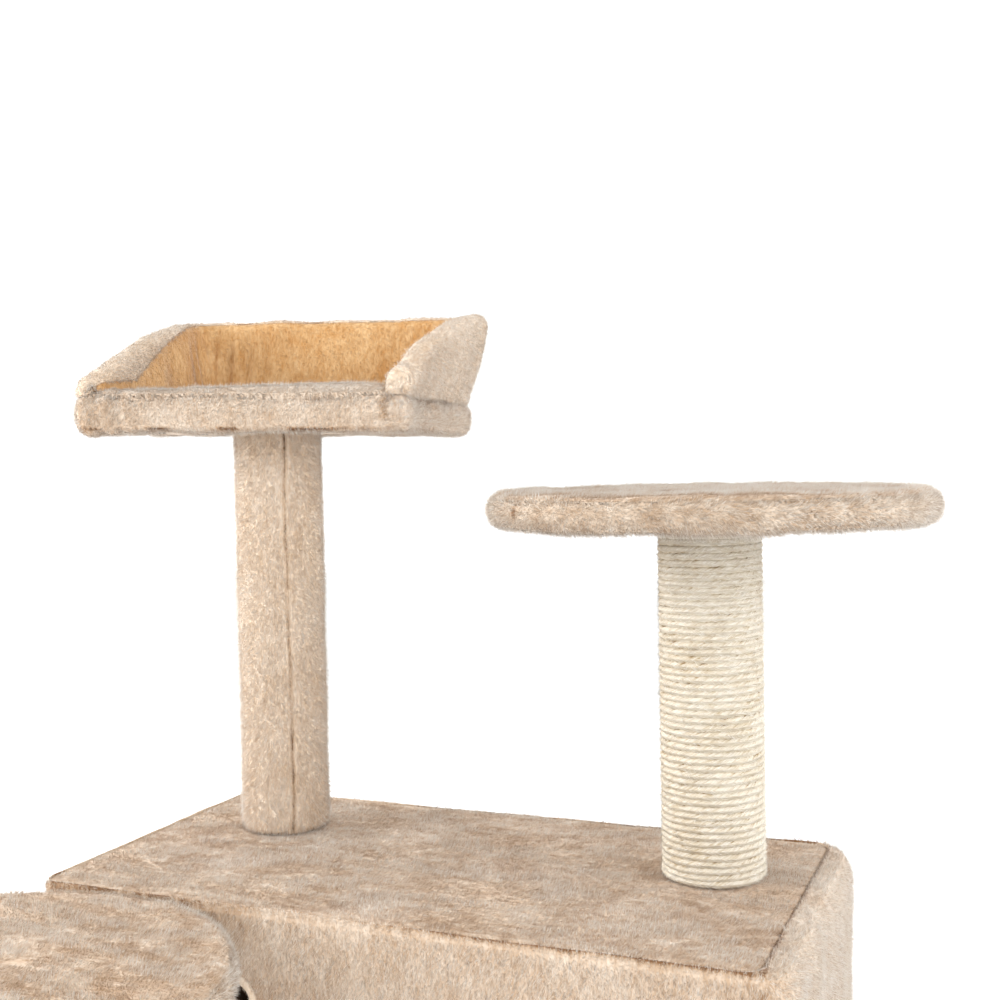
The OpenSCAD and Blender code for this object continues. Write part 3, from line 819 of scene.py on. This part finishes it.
def box_walls():
    """One padded band round the box: out over the walls, then rolled in to the seam under the top's edge."""
    w, d = wall_high.x - wall_low.x - 2 * RISE, wall_high.y - wall_low.y - 2 * RISE
    middle = (wall_low + wall_high) / 2
    outline = Outline(w, d, WALL_R, 4 * MM)
    rings = [outline.loop(0, z, w=rw, d=rd, r=rr, shift=rs)
             for rw, rd, rr, rs, z in wall_rows(w, d, middle.x)]
    obj = ring_mesh("box_wall_plush", rings, closed=True, flip=True)
    set_points(obj, moved(0, middle.y)(points_of(obj)))

    def bulge(p, n):
        right = smooth_step(n[:, 0], 0.3, 0.9) * (p[:, 0] > core_high.x + 1 * MM)
        left = smooth_step(-n[:, 0], 0.3, 0.9) * (p[:, 0] < core_low.x - 1 * MM)
        full = smooth_step(p[:, 2], BASE_TOP, BASE_TOP + 60 * MM)
        full = full * smooth_step(-p[:, 2], -BOX_TOP - 4 * MM, -BOX_TOP + 22 * MM)
        wrinkle = noise(p, np.array([0.05, 0.035, 0.16]), 31) * 2.2 * MM
        corner = 4.4 * MM * np.abs(2 * n[:, 0] * n[:, 1]) ** 2 * (p[:, 0] < core_low.x + 30 * MM)
        out = wobble(1.1 * MM, 0.06, 32)(p, n) + right * (7.5 * MM * full + wrinkle) - left * 1.5 * MM
        out = out + corner * (np.abs(n[:, 2]) < 0.5)
        return out * smooth_step(p[:, 2], BASE_TOP, BASE_TOP + 10 * MM)

    push(obj, bulge)
    drop_left_edge(obj)
    cut_door(obj)
    finish_piece(obj, cover_mat, "plush", "box_wall_cover")

    def where(centres, normals):
        flat = centres[:, :2]
        facing = (normals[:, :2] * (flat - np.array(middle[:2]))).sum(1) > 0
        in_core = np.all((flat > np.array(core_low[:2]) - 0.4 * MM)
                         & (flat < np.array(core_high[:2]) + 0.4 * MM), 1)
        return facing & (centres[:, 2] > BASE_TOP + 2 * MM) & (normals[:, 2] > -0.5) & ~in_core

    def lay(points, normals):
        outward = normals * np.array([1, 1, 0]) * 0.6
        rise = 2.0 * smooth_step(points[:, 2], BOX_TOP - 9 * MM, BOX_TOP - 4 * MM) - 1
        return swirl((0.5, 0.5, 0), 1.5, 0.05, 34)(points, normals) * 0.6 + outward + upright(rise)

    def shade(points):
        # Painted shadow that the step casts on the front's left part, and painted shade in the tuck at the
        # front right corner
        left = 0.22 * smooth_step(-points[:, 0], 0.0, 0.15) * (points[:, 1] < 0)
        tuck = np.array([wall_high.x - 14 * MM, wall_low.y, BOX_TOP - 22 * MM])
        return seam_shade(points) - left - 0.22 * peak(np.linalg.norm(points - tuck, axis=1), 14 * MM)

    pile("box_wall_pile", obj, pile_mat, "plush", ["box_wall_cover"], where, lay, 350, per_m2=420000,
         shade=shade)


def doorway(step):
    """A function that gives the doorway's edge at depth y, drawn in by inset."""
    outline = Outline(trim_high.x - trim_low.x, trim_high.z - trim_low.z, DOOR_R, step)
    centre = (trim_low + trim_high) / 2

    def edge(inset, y):
        flat = outline.loop(inset, 0.0)
        return np.stack([centre.x + flat[:, 0], np.full(len(flat), y), centre.z + flat[:, 1]], -1)

    return edge


def door_trim():
    """A lip of rolled plush round the doorway and through the wall."""
    thick, front = 4 * MM, trim_low.y
    lip = [(thick / 2 - 3 * MM * math.cos(a), front + 2.5 * MM - 3 * MM * math.sin(a))
           for a in np.linspace(-0.4, math.pi + 0.4, 9)]
    section = [(0.3 * MM, trim_high.y), (0.3 * MM, front + 8 * MM)] + lip
    section += [(thick, front + 8 * MM), (thick, trim_high.y)]
    edge = doorway(4 * MM)
    obj = ring_mesh("door_trim_plush", [edge(inset, y) for inset, y in section], closed=True, flip=False)
    push(obj, lambda p, n: wobble(0.5 * MM, 0.02, 36)(p, n) * (p[:, 1] < front + 8 * MM))
    finish_piece(obj, wall_cover_mat, "plush", "door_trim")

    def where(centres, normals):
        return centres[:, 1] < front + 9 * MM

    def lay(points, normals):
        return swirl((0.4, 0.2, 0), 1.5, 0.04, 37)(points, normals) + np.array([0, 0.6, -0.6])

    pile("door_trim_pile", obj, wall_pile_mat, "plush", ["door_trim"], where, lay, 360, per_m2=420000,
         length=3.4 * MM, halo=False)


def cut_door(obj):
    """Cuts the doorway through the front of the wall cover."""
    edge = doorway(12 * MM)
    rings = [edge(0, trim_low.y - 30 * MM), edge(0, trim_high.y + 10 * MM)]
    n = len(rings[0])
    first, last = np.arange(n), n + np.arange(n)
    cutter = make_object("door_cutter", np.concatenate(rings), loop_quads(first, last),
                         polygons=[first, last[::-1]])
    modifier = obj.modifiers.new("door", "BOOLEAN")
    modifier.operation = "DIFFERENCE"
    modifier.solver = "EXACT"
    modifier.object = cutter
    bpy.context.view_layer.update()
    cut = bpy.data.meshes.new_from_object(obj.evaluated_get(bpy.context.evaluated_depsgraph_get()))
    obj.modifiers.clear()
    obj.data = cut
    cut.polygons.foreach_set("use_smooth", np.ones(len(cut.polygons), bool))
    bpy.data.objects.remove(cutter)


# ---- Posts ----

def plush_post():
    """A plush sleeve whose lengthwise seam wanders a little."""
    low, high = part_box("plush_post_cover")
    centre = (low + high) / 2
    r = (high.x - low.x) / 2 - RISE
    angle = np.linspace(0, 2 * math.pi, 200, endpoint=False)

    def off_seam(angle_here, z):
        """Distance round the post from the seam."""
        drift = 1.2 * MM * np.sin((z - low.z) * 17) + 0.5 * MM * np.sin((z - low.z) * 61)
        return ((angle_here - SEAM_AT + math.pi) % (2 * math.pi) - math.pi) * r - drift

    def ring(radius, z):
        return np.stack([centre.x + radius * np.cos(angle), centre.y + radius * np.sin(angle),
                         np.full(len(angle), z)], -1)

    rings = []
    for z in np.linspace(low.z, high.z, round((high.z - low.z) / (4 * MM)) + 1):
        groove = peak(off_seam(angle, z), 1.8 * MM) * 2.6 * MM
        tuck = 1.5 * MM * (1 - smooth_step(z, low.z, low.z + 7 * MM))
        rings.append(ring(r - groove - tuck, z))
    rings += [ring(POST_TUBE_R + 0.2 * MM, z) for z in (high.z, low.z)]
    obj = ring_mesh("plush_post_plush", rings, closed=True, flip=True)
    push(obj, lambda p, n: wobble(0.8 * MM, np.array([0.03, 0.03, 0.05]), 41)(p, n)
         * (off_axis(p, centre) > r - 5 * MM))
    finish_piece(obj, wall_cover_mat, "plush", "plush_post_cover")

    def where(centres, normals):
        return off_axis(centres, centre) > r - 2.9 * MM

    def lay(points, normals):
        return swirl((1, 0, 0), 3.0, 0.04, 42)(points, normals) * 0.35 + np.array([0, 0, -1.0])

    def seam_gap(points):
        return np.abs(off_seam(np.arctan2(points[:, 1] - centre.y, points[:, 0] - centre.x), points[:, 2]))

    def height(points):
        return 0.35 + 0.65 * smooth_step(seam_gap(points), 0.5 * MM, 4 * MM)

    def shade(points):
        # Painted shade in the seam's groove and, in patches, where the post meets the box's top
        foot = 0.35 * peak(points[:, 2] - low.z, 3 * MM) * smooth_step(noise(points, 0.012, 44), -0.2, 0.4)
        painted_seam_shade = 0.3 + 0.2 * noise(points, 0.012, 45)
        return -painted_seam_shade * peak(seam_gap(points), 1.3 * MM) - foot

    pile("plush_post_pile", obj, wall_pile_mat, "plush", ["plush_post_cover"], where, lay, 430, per_m2=700000,
         length=4.6 * MM, lean=57, height=height, shade=shade)


def rope_winding(label, seed):
    """Three-strand rope wound up a tube, turn on turn, with uneven lay and tension."""
    low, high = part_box(f"{label}_rope")
    centre = (low + high) / 2
    outer = (high.x - low.x) / 2
    rope_r = (outer - POST_TUBE_R) / 2
    pitch = 2 * rope_r
    turns = (high.z - low.z - pitch) / pitch
    per_turn, around = 110, 10
    s = np.arange(int((turns + 2) * per_turn) + 1) / per_turn - 1
    angle = 2 * math.pi * s
    along = angle * (outer - rope_r)
    places = np.stack([np.cos(angle) * 0.1, np.sin(angle) * 0.1, s * 0.05], -1)
    level = np.maximum(smooth_step(-s, 0, 0.15), smooth_step(s, turns, turns + 0.15))
    centre_r = outer - rope_r + 0.45 * MM * np.abs(noise(places, 0.03, seed)) - 0.1 * MM + 0.4 * MM * level
    lift = 0.5 * MM * noise(places, 0.06, seed + 1) + 0.2 * MM * noise(places, 0.016, seed + 3)
    z = low.z + rope_r + np.clip(s, 0, turns) * pitch + lift * np.clip(np.minimum(s, turns - s), 0, 1)
    phi = np.linspace(0, 2 * math.pi, around, endpoint=False)
    strand = phi[None] - along[:, None] / (4.2 * MM)
    radius = rope_r * (0.9 + 0.2 * np.abs(np.cos(1.5 * strand)))
    radius = radius * (1 + 0.1 * noise(places, 0.01, seed + 2))[:, None]
    reach = centre_r[:, None] + radius * np.cos(phi)[None] * 1.02
    points = np.stack([centre.x + reach * np.cos(angle)[:, None], centre.y + reach * np.sin(angle)[:, None],
                       z[:, None] + radius * np.sin(phi)[None] * 1.12], -1)
    obj = ring_mesh(f"{label}_winding", points, closed=False, flip=True)
    fibre = [np.repeat(along, around) * 90, (strand * 2.2).ravel(), np.repeat(s, around) * 3.7]
    add_attribute(obj, "fibre", np.stack(fibre, -1))
    add_attribute(obj, "gap", np.tile(np.sin(phi) ** 2, len(s)))
    finish_piece(obj, sisal_mat, "rope", f"{label}_rope")

    def where(centres, normals):
        return off_axis(centres, centre) > outer - 2.2 * MM

    def lay(points, normals):
        return round_axis(points, centre) + upright(0.006 * noise(points, 0.01, seed))

    pile(f"{label}_fibres", obj, fibre_mat, "rope", [f"{label}_rope"], where, lay, seed * 10, per_m2=220000,
         length=7 * MM, lean=77, halo=False, wisp=6 * MM, width=0.2 * MM)


# ---- Bed ----

def bed_frame():
    """Functions from the bed's own plan to the object's space and back, and the heights of the platform's
    underside and top."""
    low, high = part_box("bed_platform_cover")
    centre = (low + high) / 2
    place = moved(centre.x, centre.y, BED_TURN)
    back = moved(0, 0, -BED_TURN)

    def local(p):
        return back(p - np.array([centre.x, centre.y, 0]))

    return place, local, low.z, high.z


def sag(local_points):
    """The bed hangs a little lower towards its right end."""
    return -BED_SAG * smooth_step(local_points[:, 0], -BED_W / 2, BED_W / 2)


def wall_height(x, y, full):
    """Height of the bed's walls at a place in its own plan: the side walls sweep down towards the front."""
    front = -BED_D / 2 + 6 * MM
    u = np.clip((BED_D / 2 - y) / (BED_D / 2 - front), 0, 1)
    roundness = np.where(x > 0, RIGHT_WALL_ROUNDNESS, LEFT_WALL_ROUNDNESS)
    return full * np.maximum(1 - u ** roundness, 0) ** (1 / roundness)


def cuff(x, y):
    """How far the cover is turned down inside the walls: a little, and more at the left one's front."""
    left = smooth_step(-x, BED_W / 2 - 45 * MM, BED_W / 2 - 30 * MM)
    return 4 * MM + 26 * MM * left * smooth_step(-y, -0.1, 0.09)


def slacken(obj, local, z0, sag_share):
    """Loosens the bed's cover: its front corners bulge, its right wall leans out and its right end hangs."""
    p = points_of(obj)
    q = local(p)
    left = near(q, -BED_W / 2, -BED_D / 2, 35 * MM)
    right = near(q, BED_W / 2, -BED_D / 2, 50 * MM)
    leaning = smooth_step(p[:, 2], z0, z0 + 50 * MM) * smooth_step(q[:, 0], 0.4 * BED_W, 0.5 * BED_W)
    across = -8 * MM * left + 4 * MM * right + 5 * MM * leaning
    p = p + moved(0, 0, BED_TURN)(np.stack([across, -3 * MM * left, 0 * left], -1))
    p[:, 2] += sag(q) * sag_share(q)
    set_points(obj, p)


def near(q, x, y, size):
    """A soft spot round a place in the bed's own plan."""
    return np.exp(-((q[:, 0] - x) ** 2 + (q[:, 1] - y) ** 2) / size ** 2)


def bed_platform():
    """The bed's padded floor, with bulging front corners and a crease near its right one."""
    place, local, low, high = bed_frame()
    top = high - RISE
    outline = Outline(BED_W - 2 * RISE, BED_D - 2 * RISE, BED_R, 3.5 * MM)
    profile = cover_profile(top - low, 15 * MM, 7 * MM, 42 * MM, 2 * MM, 4 * MM - RISE, low)
    crease_x = BED_W / 2 - 14 * MM

    def puff(p, n):
        q = local(p)
        left = near(q, -BED_W / 2, -BED_D / 2, 30 * MM)
        right = near(q, BED_W / 2, -BED_D / 2, 30 * MM)
        folds = near(q, -BED_W / 2 + 12 * MM, -BED_D / 2, 45 * MM) * np.sin(q[:, 0] * 420 + q[:, 2] * 60)
        soft = wobble(1.5 * MM, 0.032, 51)(p, n) + 4 * MM * left + 2 * MM * right + 1.6 * MM * folds
        crease = 2.5 * MM * peak(q[:, 0] - crease_x, 3.5 * MM)
        crease = crease * (q[:, 1] < -BED_D / 2 + 20 * MM) * (p[:, 2] > low + 10 * MM)
        tube = 2.5 * MM * peak(p[:, 2] - low - 16 * MM, 11 * MM) * (np.abs(n[:, 2]) < 0.9)
        return np.maximum(soft, -1 * MM) + tube - crease

    obj = slab_shell("bed_platform_plush", outline, top, profile, place, puff, swell=1.5 * MM)

    def rim_share(q):
        out = np.maximum(np.abs(q[:, 0]) / (BED_W / 2), np.abs(q[:, 1]) / (BED_D / 2))
        return smooth_step(out, 0.72, 0.93)

    slacken(obj, local, high, rim_share)
    finish_piece(obj, cover_mat, "plush", "bed_platform_cover", "bed_foam")

    def where(centres, normals):
        q = local(centres)
        rim = (np.abs(q[:, 0]) > BED_W / 2 - 22 * MM) | (np.abs(q[:, 1]) > BED_D / 2 - 22 * MM)
        return rim | (normals[:, 2] > 0.5) & (centres[:, 2] > high - 6 * MM)

    def lay(points, normals):
        up = smooth_step(normals[:, 2], -0.75, -0.3)
        return swirl((1, 0.3, 0), 1.2, 0.04, 52)(points, normals) * 0.8 + upright(1.4 * up - 0.8)

    def shade(points):
        # Painted shade in broken lengths along the front hem's lower edge, where the gap to the dark board
        # lies in shadow, and in the crease near the right front corner
        q = local(points)
        z = points[:, 2] - low - sag(q)
        hem = peak(z - 2 * MM, 1.3 * MM) * smooth_step(noise(points, 0.02, 57), -0.15, 0.15)
        crease = peak(q[:, 0] - crease_x, 3 * MM) * (z > 8 * MM) * (z < 30 * MM)
        return -(0.6 * hem + 0.3 * crease) * (q[:, 1] < -BED_D / 2 + 30 * MM)

    pile("bed_platform_pile", obj, pile_mat, "plush", ["bed_platform_cover"], where, lay, 530, per_m2=620000,
         shade=shade)


def wall_path(step):
    """The walls' line at the platform's edge, from the front left corner round the back to the front right:
    points, outward directions and how far round the front corner each has gone, from 0 to 1."""
    half_w, half_d, r = BED_W / 2 - RISE, BED_D / 2 - RISE, BED_R
    points, normals, wrap = [], [], []

    def bend(cx, cy, start, end, steps, first, last):
        for k in range(steps + 1):
            a = math.radians(start + (end - start) * k / steps)
            points.append((cx + r * math.cos(a), cy + r * math.sin(a)))
            normals.append((math.cos(a), math.sin(a)))
            wrap.append(first + (last - first) * k / steps)

    def run(ax, ay, bx, by, out):
        count = round(math.hypot(bx - ax, by - ay) / step)
        for k in range(1, count):
            points.append((ax + (bx - ax) * k / count, ay + (by - ay) * k / count))
            normals.append(out)
            wrap.append(0.0)

    bend(-half_w + r, -half_d + r, 250, 180, 8, 1, 0)
    run(-half_w, -half_d + r, -half_w, half_d - r, (-1, 0))
    bend(-half_w + r, half_d - r, 180, 90, 9, 0, 0)
    run(-half_w + r, half_d, half_w - r, half_d, (0, 1))
    bend(half_w - r, half_d - r, 90, 0, 9, 0, 0)
    run(half_w, half_d - r, half_w, -half_d + r, (1, 0))
    bend(half_w - r, -half_d + r, 0, -70, 8, 0, 1)
    return np.array(points), np.array(normals), np.array(wrap)


def sweep(name, path, normals, section, place, z0):
    """A closed section swept along the walls. section(k) gives (inset, height) points for path point k."""
    rings = []
    for k in range(len(path)):
        profile = np.array(section(k))
        rings.append(np.concatenate([path[k] - normals[k] * profile[:, :1], z0 + profile[:, 1:2]], 1))
    obj = ring_mesh(name, rings, closed=False, flip=False)
    set_points(obj, place(points_of(obj)))
    return obj


def bed_walls():
    """The bed's padded walls: plush outside and over their tops, and fleece inside."""
    place, local, _, z0 = bed_frame()
    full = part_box("bed_wall_cover")[1].z - z0 - RISE
    path, normals, wrap = wall_path(4 * MM)
    least = np.where(path[:, 0] > 0, 17 * MM, 12 * MM)
    heights = np.maximum(wall_height(path[:, 0], path[:, 1], full), least)
    heights = heights * np.sqrt(np.maximum(1 - wrap ** 2, 0.02))
    cuffs = np.minimum(cuff(path[:, 0], path[:, 1]), 0.8 * heights)
    half = WALL_T / 2
    root = -6 * MM
    thick = 1.2 * MM

    def lean(h):
        return BED_FLARE * max(h, 0) / full

    def radius(k):
        return min(half, heights[k] / 2 + 3 * MM)

    def inside(k, s, lift):
        """The wall's inner side: s down from the middle of its top edge, and lift off the surface."""
        h, r = heights[k], radius(k)
        turn = min(s / r, math.pi / 2)
        drop = max(s - r * math.pi / 2, 0)
        return (r - lean(h - drop) + (r + lift) * math.sin(turn), h - r - drop + (r + lift) * math.cos(turn))

    def outer_section(k):
        h, r, b = heights[k], radius(k), cuffs[k]
        face = [(-lean(h * s) - 2.2 * MM * math.sin(math.pi * s), root + (h - r - root) * s)
                for s in np.linspace(0, 1, 18)]
        top = [(-lean(h) + r - r * math.cos(a), h - r + (r + thick * math.sin(a)) * math.sin(a))
               for a in np.linspace(0.25, math.pi / 2, 6)]
        turned = [inside(k, s, thick) for s in np.linspace(0, b, 9)[1:]]
        return face + top + turned + [inside(k, b + 1 * MM, -2 * MM), (half, root)]

    def inner_section(k):
        r = radius(k)
        first = max(cuffs[k] - 4 * MM, 0.5 * MM)
        last = r * math.pi / 2 + heights[k] - r - root
        face = [inside(k, s, 0) for s in np.linspace(last, first, 24)]
        return face + [inside(k, first, -2.5 * MM), (half + 1 * MM, root)]

    def all_round(q):
        return np.ones(len(q))

    soft = wobble(1.6 * MM, np.array([0.035, 0.035, 0.05]), 61)
    outer = sweep("bed_wall_plush", path, normals, outer_section, place, z0)
    push(outer, soft)
    inner = sweep("bed_wall_fleece", path, normals, inner_section, place, z0)

    def folds(p, n):
        q = local(p)
        below = wall_height(q[:, 0], q[:, 1], full) - (p[:, 2] - z0) - cuff(q[:, 0], q[:, 1])
        drape = 3.0 * MM * noise(p, np.array([0.03, 0.03, 0.2]), 62)
        corner = near(q, -BED_W / 2 + 30 * MM, BED_D / 2 - 20 * MM, 30 * MM)
        tuck = 3.5 * MM * corner * np.cos((q[:, 0] - q[:, 1] + q[:, 2] * 0.15) * 330)
        return soft(p, n) + (drape + tuck) * smooth_step(below, 2 * MM, 24 * MM)

    push(inner, folds)
    for obj in (outer, inner):
        slacken(obj, local, z0, all_round)
    finish_piece(outer, wall_cover_mat, "plush", "bed_wall_cover")
    finish_piece(inner, lining_mat, "lining", "bed_wall_lining", "bed_back_wall_core",
                 "bed_left_wall_core", "bed_right_wall_core")

    def lay(points, normals):
        return swirl((1, 0.3, 0), 1.4, 0.04, 63)(points, normals) * 0.8 + np.array([0, 0, -0.7])

    pile("bed_wall_pile", outer, wall_pile_mat, "plush", ["bed_wall_cover"], everywhere, lay, 640,
         per_m2=620000)
    pile("bed_fleece_pile", inner, lining_pile_mat, "lining", ["bed_wall_lining"], everywhere, lay, 650,
         per_m2=420000, length=2.6 * MM, lean=68, halo=False)


# ---- CAD nodes that stay as they are ----

def dress_cad():
    """Gives each CAD node that still shows the material that its name calls for."""
    looks = {"tube": card_mat, "bed_board": deck_mat, "perch_board": deck_mat, "step_board": deck_mat,
             "screws": steel_mat, "board": board_mat, "panel": board_mat, "plugs": board_mat,
             "backing": backing_mat, "lining": box_inside_shade_mat}
    for label, node_obj in frame["nodes"].items():
        if node_obj.hide_render:
            continue
        node_obj.data.materials.clear()
        fitting = [look for word, look in looks.items() if word in label]
        node_obj.data.materials.append(fitting[0] if fitting else steel_mat)


# ---- Stage: camera, light and floor ----

def camera():
    """Stands to the right in front of the box, a third of a metre above its top, and looks slightly down."""
    data = bpy.data.cameras.new("camera")
    data.sensor_width = 36
    data.lens = 47.37
    data.clip_end = 60
    obj = bpy.data.objects.new("camera", data)
    bpy.context.scene.collection.objects.link(obj)
    azimuth, pitch, roll = (math.radians(a) for a in (22.48, 1.80, 1.07))
    level = math.cos(pitch)
    ahead = Vector((-math.sin(azimuth) * level, math.cos(azimuth) * level, -math.sin(pitch)))
    right = Vector((math.cos(azimuth), math.sin(azimuth), 0))
    up = right.cross(ahead)
    c, s = math.cos(roll), math.sin(roll)
    right, up = right * c - up * s, right * s + up * c
    box_centre = (top_low + top_high) / 2
    place = Vector((box_centre.x + 0.4548, box_centre.y - 0.9677, BOX_TOP + 0.3273))
    obj.matrix_world = Matrix.Translation(place) @ Matrix((right, up, -ahead)).transposed().to_4x4()
    bpy.context.scene.camera = obj


def area_light(name, place, size, watts):
    """A soft lamp that shines on the middle of the cat tree."""
    data = bpy.data.lights.new(name, "AREA")
    data.size = size
    data.energy = watts
    obj = bpy.data.objects.new(name, data)
    obj.location = place
    obj.rotation_euler = (Vector((0, 0, 0.5)) - Vector(place)).to_track_quat("-Z", "Y").to_euler()
    bpy.context.scene.collection.objects.link(obj)


def sky():
    """White all round, and less bright overhead."""
    world = bpy.data.worlds.new("studio")
    world.use_nodes = True
    tree = world.node_tree
    ray = node(tree, "ShaderNodeTexCoord").outputs["Generated"]
    height = node(tree, "ShaderNodeSeparateXYZ", inputs={"Vector": ray}).outputs["Z"]
    strength = node(tree, "ShaderNodeMapRange", inputs={
        "Value": height, "From Min": 0.35, "From Max": 1.0, "To Min": 1.46, "To Max": 0.76}).outputs[0]
    tree.nodes["Background"].inputs["Color"].default_value = (1, 1, 1, 1)
    tree.links.new(strength, tree.nodes["Background"].inputs["Strength"])
    bpy.context.scene.world = world


def stage():
    """A pale floor, a soft sky and four soft lamps."""
    sky()
    bpy.context.scene.cycles.diffuse_bounces = 10
    bpy.context.scene.view_settings.view_transform = "Standard"
    half, z = 6.0, -0.5 * MM
    floor = make_object("floor", [(-half, -half, z), (half, -half, z), (half, half, z), (-half, half, z)],
                        quads=[(0, 1, 2, 3)])
    made, _, shader = new_material("pale_floor")
    shader.inputs["Base Color"].default_value = (0.94, 0.94, 0.94, 1)
    shader.inputs["Roughness"].default_value = 0.9
    floor.data.materials.append(made)
    area_light("key_softbox", (-2.2, -1.1, 1.3), 1.3, 50)
    area_light("left_rim_softbox", (-2.0, 0.7, 0.9), 1.3, 24)
    area_light("fill_softbox", (1.7, -1.9, 1.1), 1.6, 16)
    area_light("right_rim_softbox", (2.2, 0.3, 0.9), 1.5, 14)


camera()
stage()
base_cover()
box_walls()
door_trim()
box_top()
round_platform("perch", 71)
round_platform("step", 81)
plush_post()
rope_winding("rope_post", 91)
rope_winding("step_post", 95)
bed_platform()
bed_walls()
dress_cad()
